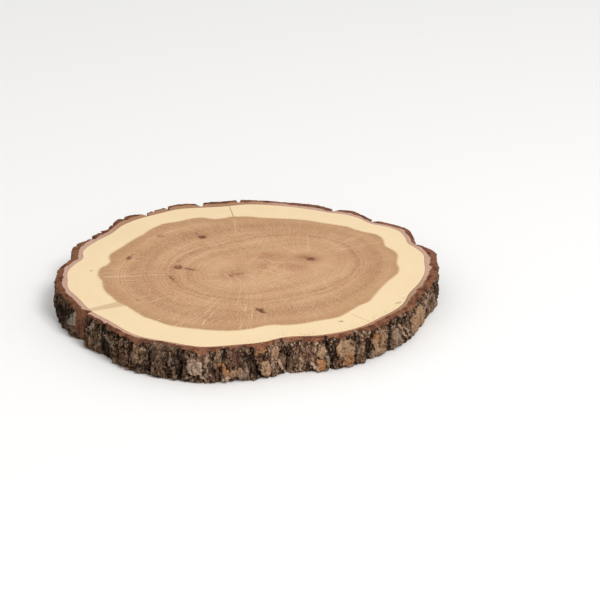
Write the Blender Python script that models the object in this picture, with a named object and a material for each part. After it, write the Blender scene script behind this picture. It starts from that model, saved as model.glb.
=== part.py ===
"""A slice sawn across a tree trunk and left in its bark.

It is one solid, because it grew as one piece. Two flat sawn faces lie 20 mm apart, and the
bark stands between them as upright plates with furrows between. Everything round the edge is
given by its bearing, in degrees from +X towards +Y, about the point that the limbs of the
outline are measured from. The slice rests on z = 0, with its box centred on the Z axis.
"""

import math

import bmesh
import bpy
import numpy as np

MM = 0.001

# Driving dimensions, in millimetres.
THICKNESS = 20.0
COLUMNS = 288
NOTCH_BEARING = 210.0
NOTCH_HALF_WIDTH = 1.1
NOTCH_WALL = 0.5
# Degrees over which the notch's other wall slants out to the crest of the bark.
NOTCH_SLANT = 4.5

# Furrows less deep than this lose this share of their depth by the upper edge.
SHALLOW = 3.0
SHALLOW_FADE = 0.7

# Rings of the bark from the lower sawn face to the upper one. Each is its share of the
# thickness, then how much of the lower and of the upper broken edge it is set in by.
RINGS = (
    (0.00, 1.0, 0.0),
    (0.07, 0.0, 0.0),
    (0.30, 0.0, 0.0),
    (0.55, 0.0, 0.0),
    (0.78, 0.0, 0.1),
    (0.92, 0.0, 0.5),
    (1.00, 0.0, 1.0),
)

# How far the lower edge of the bark is broken away.
LOWER_EDGE = 1.0

# Each sawn face is a strip as wide as the bark and this much of the wood, round a plain oval.
WOOD_IN_STRIP = 3.0

# The wood under the bark: bearing, radius. Low places between the swellings lie near bearings
# 20, 60, 105, 150, 172 and 284.
WOOD = (
    (0, 101.5), (6, 102.5), (12, 104.3), (17, 102.5), (21, 100.9), (25, 102.8), (30, 104.2),
    (35, 101.6), (40, 97.2), (47, 97.2), (52, 96.0), (57, 93.0), (65, 91.3), (77, 90.2),
    (90, 89.8), (100, 87.9), (107, 89.2), (117, 92.6), (124, 92.8), (135, 94.7), (141, 94.8),
    (148, 93.2), (157, 95.8), (165, 97.6), (171, 95.2), (175, 98.0), (181, 101.3), (186, 101.2),
    (192, 101.8), (200, 98.9), (210, 98.0), (219, 96.0), (233, 97.0), (245, 94.0), (254, 93.5),
    (266, 88.2), (276, 85.3), (284, 82.0), (297, 86.6), (310, 91.0), (322, 92.6), (334, 95.4),
    (343, 94.9), (352, 98.6),
)

# The bark over the wood, at the crests of its plates: bearing, thickness.
BARK = (
    (2, 8.2), (12, 7.4), (20, 5.6), (28, 6.6), (36, 6.0), (44, 6.2), (52, 6.9), (60, 5.8),
    (72, 5.9), (84, 7.0), (97, 8.4), (106, 7.8), (118, 8.2), (126, 6.3), (137, 7.9), (146, 6.1),
    (156, 7.7), (166, 7.6), (175, 6.7), (186, 6.9), (198, 7.8), (212, 7.2), (228, 6.7),
    (245, 7.0), (262, 6.7), (280, 6.9), (297, 6.6), (315, 7.0), (330, 7.2), (345, 8.0),
)

# How far the upper edge of the bark is broken back from the crests: bearing, width.
UPPER_EDGE = (
    (5, 1.2), (25, 0.6), (90, 0.4), (150, 0.5), (180, 0.9), (205, 2.2), (235, 2.6), (275, 2.9),
    (320, 2.6), (345, 1.8),
)

# The furrows between the plates: bearing at half height, half width, depth, and how far the
# furrow leans towards a greater bearing on its way up.
FURROWS = (
    (3, 1.1, 2.6, 1.0), (9, 1.2, 2.2, -0.8), (15, 1.2, 2.4, 0.6), (20, 2.2, 3.0, 0.0),
    (27, 1.2, 2.2, 1.2), (33, 1.3, 2.4, -0.8), (41, 1.6, 3.8, 0.4), (48, 1.2, 2.2, 0.8),
    (57, 1.7, 3.2, -0.4), (63, 1.2, 2.4, 1.0), (70, 1.3, 2.6, -1.0), (77, 1.0, 2.0, 0.4),
    (85, 1.4, 2.8, 0.8), (93, 1.5, 4.6, 0.0), (100, 1.2, 2.6, -0.8), (107, 2.2, 5.4, 0.4),
    (113, 1.2, 2.4, 0.8), (119, 1.3, 6.2, 0.0), (124, 1.2, 2.4, 1.2), (129, 1.7, 5.4, -0.4),
    (136, 1.2, 2.6, 0.8), (142, 1.3, 2.6, -0.6), (149, 1.2, 2.4, 1.0), (155, 1.4, 4.4, 0.0),
    (162, 1.3, 2.6, -1.0), (168, 1.2, 2.4, 0.8), (174, 1.3, 2.8, 0.0), (181, 1.3, 3.0, 1.0),
    (187, 1.4, 3.2, -0.8), (193, 1.3, 3.4, 0.6), (201, 1.5, 3.6, -0.6), (219, 1.9, 3.8, 1.0),
    (227, 1.2, 3.0, 0.0), (233, 1.5, 3.2, -1.4), (239, 1.4, 3.4, 0.4), (244, 1.2, 2.8, 0.6),
    (249, 1.5, 3.8, -0.4), (257, 1.2, 2.8, 0.2), (262, 1.3, 3.4, 0.4), (267, 1.2, 2.4, -0.6),
    (273, 1.7, 4.0, -3.0), (280, 1.3, 2.8, -0.6), (285, 2.0, 3.8, 0.8), (291, 1.2, 2.6, 0.6),
    (299, 1.6, 4.2, -0.8), (308, 1.4, 3.4, 0.4), (314, 1.5, 3.8, 0.2), (323, 1.6, 3.8, 0.4),
    (329, 1.2, 2.6, -0.8), (335, 1.4, 3.0, 0.6), (341, 1.3, 3.0, -0.4), (347, 1.6, 3.8, 0.4),
    (355, 1.3, 3.0, -0.6),
)

# The plates swell and shrink a little over their height: waves round the edge, phase at the
# lower face and at the upper face in degrees, and height of the wave.
SWELLS = (
    (11, 20, 140, 0.35),
    (23, 200, 20, 0.25),
    (37, 90, 300, 0.15),
)

BARK_COLOUR = (0.115, 0.075, 0.052, 1.0)
WOOD_COLOUR = (0.62, 0.40, 0.21, 1.0)
BARK_ROUGHNESS = 0.95
WOOD_ROUGHNESS = 0.62


def around(knots, bearings):
    """A smooth closed curve through (bearing, value) knots, read at the bearings.

    Each stretch is a cubic whose slope at a knot is that of the line through its neighbours.
    """
    at, value = np.array(knots, dtype=float).T
    at = np.concatenate([at[-2:] - 360, at, at[:2] + 360])
    value = np.concatenate([value[-2:], value, value[:2]])
    slope = np.gradient(value, at)
    bearings = (bearings - at[1]) % 360 + at[1]
    left = np.clip(np.searchsorted(at, bearings, side="right") - 1, 0, len(at) - 2)
    width = at[left + 1] - at[left]
    t = (bearings - at[left]) / width
    rise = value[left + 1] - value[left]
    start = slope[left] * width
    end = slope[left + 1] * width
    return value[left] + t * (start + t * (3 * rise - 2 * start - end + t * (start + end - 2 * rise)))


def column_bearings():
    """Bearings of the columns: evenly spaced, and four more that give the notch its walls."""
    reach = math.degrees((NOTCH_HALF_WIDTH + NOTCH_WALL) / around(WOOD, np.array([NOTCH_BEARING]))[0])
    floor = math.degrees(NOTCH_HALF_WIDTH / around(WOOD, np.array([NOTCH_BEARING]))[0])
    even = np.arange(COLUMNS) * 360.0 / COLUMNS
    clear = even[np.abs(even - NOTCH_BEARING) > reach + 0.3]
    walls = NOTCH_BEARING + np.array([-reach, -floor, floor, reach])
    return np.sort(np.concatenate([clear, walls]))


def furrow_depth(bearings, radius, share):
    """Depth of the furrows at a share of the height: cosine grooves, the deepest one winning.

    The shallow ones die out towards the upper edge.
    """
    depth = np.zeros(len(bearings))
    for middle, half_width, most, lean in FURROWS:
        off = (bearings - middle - lean * (share - 0.5) + 180) % 360 - 180
        across = np.clip(np.abs(np.radians(off) * radius) / (2 * half_width), 0, 1)
        kept = 1 - SHALLOW_FADE * share**2 if most < SHALLOW else 1
        depth = np.maximum(depth, most * kept * 0.5 * (1 + np.cos(math.pi * across)))
    return depth


def swell(bearings, share):
    """Slow rise and fall of the bark at a share of the height."""
    waves = [
        height * np.sin(np.radians(count * bearings + low + (high - low) * share))
        for count, low, high, height in SWELLS
    ]
    return np.sum(waves, axis=0)


def bark_radius(bearings, share, lower, upper):
    """Outer radius of the bark round one ring: its crest less the furrow or the broken edge.

    One wall of the notch is steep, and the other slants out to the crest.
    """
    wood = around(WOOD, bearings)
    crest = wood + around(BARK, bearings) + swell(bearings, share)
    broken = lower * LOWER_EDGE + upper * around(UPPER_EDGE, bearings)
    cut = np.maximum(furrow_depth(bearings, wood, share), broken)
    radius = np.maximum(crest - cut, wood + 0.5)
    half_notch = math.degrees(NOTCH_HALF_WIDTH / around(WOOD, np.array([NOTCH_BEARING]))[0])
    before = NOTCH_BEARING - half_notch - bearings
    slant = np.where(before > -0.01, np.clip(before / NOTCH_SLANT, 0, 1), 1)
    inside = np.abs(bearings - NOTCH_BEARING) < half_notch + 0.01
    return np.where(inside, wood, wood + (radius - wood) * slant)


def outline_rings():
    """Points of every ring, as (rings, columns, 3), with the box of them all centred on x = y = 0."""
    bearings = column_bearings()
    angle = np.radians(bearings)
    inner = around(WOOD, bearings) - WOOD_IN_STRIP
    radii = [inner] + [bark_radius(bearings, *ring) for ring in RINGS] + [inner]
    heights = [0.0] + [share * THICKNESS for share, _, _ in RINGS] + [THICKNESS]
    rings = np.array(
        [
            np.stack([radius * np.cos(angle), radius * np.sin(angle), np.full(len(angle), height)], axis=1)
            for radius, height in zip(radii, heights)
        ]
    )
    flat = rings.reshape(-1, 3)
    middle = (flat.min(axis=0) + flat.max(axis=0)) / 2
    middle[2] = 0
    return (rings - middle) * MM


def principled(name, colour, roughness):
    """A plain non-metal material."""
    material = bpy.data.materials.new(name)
    material.use_nodes = True
    shader = material.node_tree.nodes["Principled BSDF"]
    shader.inputs["Base Color"].default_value = colour
    shader.inputs["Roughness"].default_value = roughness
    shader.inputs["Metallic"].default_value = 0.0
    return material


def wood_slice():
    """The slice: strips join the rings, and the two sawn faces close the innermost rings."""
    mesh = bmesh.new()
    loops = [[mesh.verts.new(point) for point in ring] for ring in outline_rings()]
    columns = len(loops[0])
    for low, high in zip(loops, loops[1:]):
        for column in range(columns):
            after = (column + 1) % columns
            mesh.faces.new((low[column], low[after], high[after], high[column]))
    sawn = [mesh.faces.new(loops[-1]), mesh.faces.new(loops[0][::-1])]
    for face in sawn:
        face.material_index = 1
    data = bpy.data.meshes.new("wood_slice")
    mesh.to_mesh(data)
    mesh.free()
    data.materials.append(principled("bark", BARK_COLOUR, BARK_ROUGHNESS))
    data.materials.append(principled("wood", WOOD_COLOUR, WOOD_ROUGHNESS))
    slice_object = bpy.data.objects.new("wood_slice", data)
    bpy.context.scene.collection.objects.link(slice_object)
    return slice_object


def main():
    """Clear the scene and build the slice."""
    for old in list(bpy.data.objects):
        bpy.data.objects.remove(old)
    wood_slice()


main()
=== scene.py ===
"""A slice sawn across a tree trunk, with its bark on, lying on a pale table.

Lengths in this file are millimetres in the plan of the slice: x to the right, y away from the
viewer and z up, with bearings in degrees from +x towards +y about the point that the limbs of
the outline are measured from. Trunk.placed turns points into metres in the frame of the
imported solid.
"""

import sys

import logging
import math
from dataclasses import dataclass, field
from enum import Enum
from itertools import product
from typing import Self

import bpy
import numpy as np
from mathutils import Matrix, Vector


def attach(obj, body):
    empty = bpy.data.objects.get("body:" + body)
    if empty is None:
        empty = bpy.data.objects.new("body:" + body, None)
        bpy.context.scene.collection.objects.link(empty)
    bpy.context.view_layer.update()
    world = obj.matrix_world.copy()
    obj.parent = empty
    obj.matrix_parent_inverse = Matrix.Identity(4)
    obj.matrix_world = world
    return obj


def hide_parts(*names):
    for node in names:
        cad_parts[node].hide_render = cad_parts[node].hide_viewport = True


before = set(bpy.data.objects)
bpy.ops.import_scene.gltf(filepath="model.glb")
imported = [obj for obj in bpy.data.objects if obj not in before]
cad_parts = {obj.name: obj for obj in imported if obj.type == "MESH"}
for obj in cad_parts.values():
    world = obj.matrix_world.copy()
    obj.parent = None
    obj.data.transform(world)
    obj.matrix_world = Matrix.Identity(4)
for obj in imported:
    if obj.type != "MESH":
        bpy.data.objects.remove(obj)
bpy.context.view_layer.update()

log = logging.getLogger("wood_slice")

MM = 0.001
Array = np.ndarray
Colour = tuple[float, float, float, float]
Knots = tuple[tuple[float, float], ...]
Line = tuple[float, float, float, float]  # x and y of its two ends


# Curves and noise


def ease(value: Array, low: float, high: float) -> Array:
    """Rise from 0 at low to 1 at high along 3t^2 - 2t^3, where t is the share of the way.

    Args:
        value: Where to read the curve.
        low: The value below which the result is 0.
        high: The value above which the result is 1. It may be less than low, for a fall.

    Returns:
        The eased share, shaped like value.
    """
    t = np.clip((value - low) / (high - low), 0.0, 1.0)
    return t * t * (3.0 - 2.0 * t)


def off_bearing(bearing: Array, middle: float) -> Array:
    """How far bearings lie from a middle one, from -180 to 180 degrees."""
    return (bearing - middle + 180) % 360 - 180


def around(knots: Knots, bearings: Array) -> Array:
    """A smooth closed curve through (bearing, value) knots.

    Each stretch is a cubic whose slope at a knot is that of the line through its neighbours.

    Args:
        knots: Bearings in degrees in rising order, each with its value.
        bearings: Where to read the curve, in degrees.

    Returns:
        The values, shaped like bearings.
    """
    at, value = np.array(knots, dtype=float).T
    at = np.concatenate([at[-2:] - 360, at, at[:2] + 360])
    value = np.concatenate([value[-2:], value, value[:2]])
    slope = np.gradient(value, at)
    bearings = (bearings - at[1]) % 360 + at[1]
    left = np.clip(np.searchsorted(at, bearings, side="right") - 1, 0, len(at) - 2)
    width = at[left + 1] - at[left]
    t = (bearings - at[left]) / width
    rise = value[left + 1] - value[left]
    start, end = slope[left] * width, slope[left + 1] * width
    return value[left] + t * (start + t * (3 * rise - 2 * start - end + t * (start + end - 2 * rise)))


def hashed(cell: Array, seed: int) -> Array:
    """A fixed share from 0 to 1 for each cell of a lattice.

    The cell's whole numbers are multiplied by large odd numbers, folded together by
    exclusive or, and stirred by shifts and products.

    Args:
        cell: Whole coordinates, with x, y and z last.
        seed: A different seed gives unrelated shares.

    Returns:
        One share for each cell.
    """
    mixed = np.full(cell.shape[:-1], seed * 2654435761 % 2**32, dtype=np.uint32)
    for axis, odd in enumerate((73856093, 19349663, 83492791)):
        mixed = mixed ^ (cell[..., axis] * odd & 0xFFFFFFFF).astype(np.uint32)
        mixed = (mixed ^ (mixed >> np.uint32(15))) * np.uint32(2246822519)
        mixed = (mixed ^ (mixed >> np.uint32(13))) * np.uint32(3266489917)
    return (mixed ^ (mixed >> np.uint32(16))).astype(np.float64) / 2**32


def noise(points: Array, seed: int) -> Array:
    """Smooth noise from -1 to 1: hashed values at the corners of unit cubes, eased between them.

    Args:
        points: Where to read the noise, with x, y and z last.
        seed: The seed of its values.

    Returns:
        The noise, one value for each point.
    """
    low = np.floor(points).astype(np.int64)
    t = ease(points - low, 0.0, 1.0)
    total = np.zeros(points.shape[:-1])
    for corner in product((0, 1), repeat=3):
        share = np.where(corner, t, 1.0 - t).prod(axis=-1)
        total += share * hashed(low + np.array(corner), seed)
    return total * 2.0 - 1.0


def fractal(points: Array, seed: int, octaves: int = 4, keep: float = 0.5) -> Array:
    """Noise added to itself at twice the fineness and keep times the height, octaves times.

    Args:
        points: Where to read the noise, with x, y and z last.
        seed: The seed of the first layer.
        octaves: How many layers are added.
        keep: The height of a layer over the height of the one before.

    Returns:
        The sum, scaled so that it stays from about -1 to 1.
    """
    heights = keep ** np.arange(octaves)
    layers = [noise(points * 2.0**layer, seed + 17 * layer) for layer in range(octaves)]
    return np.tensordot(heights, layers, axes=1) / heights.sum()


def cells(points: Array, seed: int) -> tuple[Array, Array]:
    """Cracked cells: each unit cube holds one scattered point, and a cell is nearest to it.

    Args:
        points: Where to read the pattern, with x, y and z last.
        seed: The seed of the scattering.

    Returns:
        How much further the second nearest scattered point is than the nearest, 0 on the
        border between two cells, and a hashed share that is the same all over a cell.
    """
    low = np.floor(points).astype(np.int64)
    nearest, second = np.full((2, *points.shape[:-1]), 9.0)
    name = np.zeros(points.shape[:-1])
    for corner in product((-1, 0, 1), repeat=3):
        cell = low + np.array(corner)
        scatter = np.stack([hashed(cell, seed + axis) for axis in range(3)], axis=-1)
        distance = np.linalg.norm(cell + 0.1 + 0.8 * scatter - points, axis=-1)
        closer = distance < nearest
        second = np.where(closer, nearest, np.minimum(second, distance))
        name = np.where(closer, hashed(cell, seed + 3), name)
        nearest = np.where(closer, distance, nearest)
    return second - nearest, name


def crowded_bearings(count: int, crowds: tuple[tuple[float, float, float], ...]) -> Array:
    """Bearings that stand closer together at some places.

    The density is 1 plus, for each crowd, how much denser it is times a bell curve. The
    bearings are where the running total of the density reaches equal steps.

    Args:
        count: How many bearings.
        crowds: For each crowd its bearing, half width in degrees and extra density.

    Returns:
        Rising bearings in degrees, starting at 0.
    """
    fine = np.linspace(0.0, 360.0, 36001)
    density = np.ones_like(fine)
    for middle, half_width, extra in crowds:
        density += extra * np.exp(-((off_bearing(fine, middle) / half_width) ** 2))
    total = np.concatenate([[0.0], np.cumsum((density[1:] + density[:-1]) / 2)])
    return np.interp(np.arange(count) / count * total[-1], total, fine)


# Meshes


@dataclass
class Surface:
    """A closed surface on a grid: columns run round and meet, rows run outwards and then down."""

    name: str
    points: Array  # (rows, columns, 3), in metres
    places: Array  # (rows of faces, columns, 4, 2): each face's corners on the bake map
    values: dict[str, Array]  # each (rows, columns)
    poles: Array | None = None  # the two points that close the first and the last row
    pole_places: Array | None = None  # those two points on the bake map

    def build(self) -> bpy.types.Object:
        """Put the grid, its poles, its values and its bake map into one mesh.

        A face runs from its own corner to the next row, then to the next column, so that a
        surface whose rows run outwards over its top and down its side faces outward. Without
        poles the last row joins the first.

        Returns:
            The new object, at the origin and linked to the scene.
        """
        rows, columns = self.points.shape[:2]
        number = np.arange(rows * columns).reshape(rows, columns)
        if self.poles is None:
            number = np.concatenate([number, number[:1]])
        after = np.roll(number, -1, axis=1)
        quads = np.stack([number[:-1], number[1:], after[1:], after[:-1]], axis=-1)
        vertices = self.points.reshape(-1, 3)
        values = {name: value.reshape(-1) for name, value in self.values.items()}
        loops, places = [quads.reshape(-1)], [self.places.reshape(-1, 2)]
        sizes = np.full(quads.shape[0] * columns, 4)
        if self.poles is not None:
            for end, row, (near, far) in ((0, 0, (0, 3)), (1, -1, (2, 1))):
                pole = np.full(columns, len(vertices) + end)
                ring = (number[row], after[row]) if end == 0 else (after[row], number[row])
                pole_at = np.broadcast_to(self.pole_places[end], (columns, 2))
                loops.append(np.stack([pole, *ring], axis=1).reshape(-1))
                corners = [pole_at, self.places[row, :, near], self.places[row, :, far]]
                places.append(np.stack(corners, axis=1).reshape(-1, 2))
            vertices = np.concatenate([vertices, self.poles])
            sizes = np.concatenate([sizes, np.full(2 * columns, 3)])
            for name, value in values.items():
                values[name] = np.append(value, [value[:columns].mean(), value[-columns:].mean()])
        mesh = bpy.data.meshes.new(self.name)
        mesh.vertices.add(len(vertices))
        mesh.vertices.foreach_set("co", vertices.astype(np.float32).reshape(-1))
        mesh.loops.add(sum(map(len, loops)))
        mesh.loops.foreach_set("vertex_index", np.concatenate(loops).astype(np.int32))
        mesh.polygons.add(len(sizes))
        mesh.polygons.foreach_set("loop_start", np.append(0, np.cumsum(sizes)[:-1]).astype(np.int32))
        mesh.update(calc_edges=True)
        bake_map = mesh.uv_layers.new(name="OFBake")
        bake_map.data.foreach_set("uv", np.concatenate(places).astype(np.float32).reshape(-1))
        for name, value in values.items():
            attribute = mesh.attributes.new(name, "FLOAT", "POINT")
            attribute.data.foreach_set("value", value.astype(np.float32))
        mesh.validate()
        mesh.shade_smooth()
        made = bpy.data.objects.new(self.name, mesh)
        bpy.context.scene.collection.objects.link(made)
        return made


def strips(columns: int, rows: int, count: int, box: tuple[float, float, float, float]) -> Array:
    """Places on the bake map for a band of faces that is cut into strips and stacked.

    Args:
        columns: How many columns of faces the band has.
        rows: How many rows of faces.
        count: How many strips.
        box: Lowest and highest place of the stack, u then v of each.

    Returns:
        The places, (rows, columns, 4, 2), corners in the order that Surface takes them.
    """
    column = np.arange(columns)
    strip = column * count // columns
    low = (column * count / columns - strip)[None, :]
    high = low + count / columns
    down = np.linspace(1.0, 0.0, rows + 1)[:, None]
    across = np.stack([low, low, high, high], axis=-1)
    up = np.stack([down[:-1], down[1:], down[1:], down[:-1]], axis=-1)
    u = box[0] + (box[2] - box[0]) * (across + 0.0 * up)
    v = box[1] + (box[3] - box[1]) * (strip[None, :, None] + 0.02 + 0.96 * up) / count
    return np.stack([u, v], axis=-1)


# Materials


def paint(red: int, green: int, blue: int) -> Colour:
    """A colour given in display values from 0 to 255, as the light it gives back.

    Below 0.04045 the share is divided by 12.92, and above it ((share + 0.055) / 1.055)^2.4.

    Args:
        red: Its red.
        green: Its green.
        blue: Its blue.

    Returns:
        The colour for a shader, with an alpha of 1.
    """
    shares = [value / 255.0 for value in (red, green, blue)]
    light = [s / 12.92 if s <= 0.04045 else ((s + 0.055) / 1.055) ** 2.4 for s in shares]
    return (light[0], light[1], light[2], 1.0)


@dataclass(frozen=True)
class Field:
    """A number, vector or colour that varies over a surface, held as the output of a node."""

    tree: bpy.types.NodeTree
    socket: bpy.types.NodeSocket

    @classmethod
    def of(
        cls, tree: bpy.types.NodeTree, kind: str, values: tuple, output: int | str = 0, **settings: object
    ) -> Self:
        """Add a node to a tree and feed it.

        Args:
            tree: The tree.
            kind: Blender's name of the kind of node.
            values: A field or a constant for each of its first inputs, or None to leave it.
            output: Which of its outputs is wanted.
            settings: The node's own settings.

        Returns:
            That output.
        """
        made = tree.nodes.new(kind)
        for key, setting in settings.items():
            setattr(made, key, setting)
        for socket, value in zip(made.inputs, values):
            if isinstance(value, Field):
                tree.links.new(value.socket, socket)
            elif value is not None:
                socket.default_value = value
        return cls(tree, made.outputs[output])

    def math(self, operation: str, *others: object, clamp: bool = False) -> Self:
        """A Math node fed with this number and others."""
        return Field.of(
            self.tree, "ShaderNodeMath", (self, *others), operation=operation, use_clamp=clamp
        )

    def __add__(self, other: object) -> Self:
        """This number plus another."""
        return self.math("ADD", other)

    def __sub__(self, other: object) -> Self:
        """This number less another."""
        return self.math("SUBTRACT", other)

    def __mul__(self, other: object) -> Self:
        """This number times another."""
        return self.math("MULTIPLY", other)

    def __pow__(self, power: float) -> Self:
        """This number raised to a power."""
        return self.math("POWER", power)

    def vector(self, operation: str, *others: object, output: str = "Vector") -> Self:
        """A Vector Math node fed with this vector and others."""
        values = (self, *others)
        return Field.of(self.tree, "ShaderNodeVectorMath", values, output, operation=operation)

    def along(self, axis: str) -> Self:
        """This vector's share along an axis, X, Y or Z."""
        return Field.of(self.tree, "ShaderNodeSeparateXYZ", (self,), axis)

    def step(self, low: float, high: float) -> Self:
        """An eased rise from 0 at low to 1 at high, or a fall where high is the lesser."""
        ends = (low, high, 0.0, 1.0) if low < high else (high, low, 1.0, 0.0)
        return Field.of(self.tree, "ShaderNodeMapRange", (self, *ends), interpolation_type="SMOOTHSTEP")

    def grain(self, scale: float, detail: float, roughness: float = 0.5) -> Self:
        """Noise at this vector, from about 0 to 1, in features of 1 / scale of its unit."""
        values = (self, None, scale, detail, roughness)
        return Field.of(self.tree, "ShaderNodeTexNoise", values)

    def dice(self) -> Self:
        """A random share for each different vector."""
        return Field.of(self.tree, "ShaderNodeTexWhiteNoise", (self,), noise_dimensions="3D")

    def scaled(self, vector: object, by: object) -> Self:
        """A vector times a number, in this field's tree."""
        values = (vector, None, None, by)
        return Field.of(self.tree, "ShaderNodeVectorMath", values, operation="SCALE")

    def shade(self, by: object) -> Self:
        """This colour made lighter or darker by a factor."""
        return self.scaled(self, by)

    def to(self, colour: object, share: object) -> Self:
        """This colour blended towards another by a share from 0 to 1."""
        return Recipe.blend(self.tree, self, colour, share)

    def line(self, ends: Line, half_width: float) -> Self:
        """1 on a straight line between two spots, easing to 0 at its half width.

        The gap is |p - a - h b|, where p is this vector, a one end, b the run to the other,
        and h the share of the way, p.b / b.b, kept from 0 to 1.

        Args:
            ends: The line.
            half_width: Where it ends, in mm.

        Returns:
            The field.
        """
        x, y, end_x, end_y = ends
        run = (end_x - x, end_y - y, 0.0)
        off = self.vector("SUBTRACT", (x, y, 0.0))
        reached = off.vector("DOT_PRODUCT", run, output="Value")
        share = reached.math("MULTIPLY", 1.0 / (run[0] ** 2 + run[1] ** 2), clamp=True)
        gap = off.vector("DISTANCE", self.scaled(run, share), output="Value")
        return gap.step(half_width, half_width * 0.3)


class Recipe:
    """Writes one material: a Principled shader and the fields that feed it."""

    def __init__(self, name: str, gloss: float) -> None:
        """Start a material.

        Args:
            name: Its name.
            gloss: Its specular level.
        """
        self.material = bpy.data.materials.new(name)
        self.material.use_nodes = True
        self.tree = self.material.node_tree
        self.shader = self.tree.nodes["Principled BSDF"]
        self.shader.inputs["Specular IOR Level"].default_value = gloss

    def spot(self) -> Field:
        """The object's own coordinates, in millimetres."""
        own = Field.of(self.tree, "ShaderNodeTexCoord", (), "Object")
        return own.vector("MULTIPLY", (1.0 / MM,) * 3)

    def attribute(self, name: str) -> Field:
        """A value that the mesh carries."""
        return Field.of(self.tree, "ShaderNodeAttribute", (), "Fac", attribute_name=name)

    def joined(self, x: object, y: object) -> Field:
        """A flat vector of two values."""
        return Field.of(self.tree, "ShaderNodeCombineXYZ", (x, y))

    @staticmethod
    def blend(tree: bpy.types.NodeTree, first: object, second: object, share: object) -> Field:
        """Two colours blended by a share: 0 gives the first and 1 the second.

        Args:
            tree: The tree to work in.
            first: A colour or a field.
            second: A colour or a field.
            share: The share, a number or a field.

        Returns:
            The blended colour.
        """
        values = (share, None, None, None, None, None, first, second)
        return Field.of(tree, "ShaderNodeMix", values, 2, data_type="RGBA", blend_type="MIX")

    def colours(self, first: object, second: object, share: object) -> Field:
        """Two colours blended by a share."""
        return Recipe.blend(self.tree, first, second, share)

    def finish(self, colour: Field, roughness: object, height: Field, relief: float) -> bpy.types.Material:
        """Feed the shader.

        Args:
            colour: The surface's colour.
            roughness: Its roughness, a number or a field.
            height: The height of the finest relief, from 0 to 1.
            relief: How high that relief is, in millimetres.

        Returns:
            The material.
        """
        bump = Field.of(self.tree, "ShaderNodeBump", ())
        node = bump.socket.node
        node.inputs["Distance"].default_value = relief * MM
        self.tree.links.new(height.socket, node.inputs["Height"])
        for name, value in (("Base Color", colour), ("Roughness", roughness), ("Normal", bump)):
            if isinstance(value, Field):
                self.tree.links.new(value.socket, self.shader.inputs[name])
            else:
                self.shader.inputs[name].default_value = value
        return self.material


# The trunk that the slice is cut from


@dataclass(frozen=True)
class Oval:
    """A soft-ended oval in the plan, such as a knot or a blush."""

    x: float
    y: float
    half_length: float
    half_width: float
    turn: float  # degrees from +x towards +y
    strength: float  # 0 to 1


@dataclass(frozen=True)
class Furrow:
    """A furrow between two bark plates."""

    bearing: float  # at half height
    half_width: float
    depth: float
    lean: float  # how far its bearing grows from the lower face to the upper one


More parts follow.
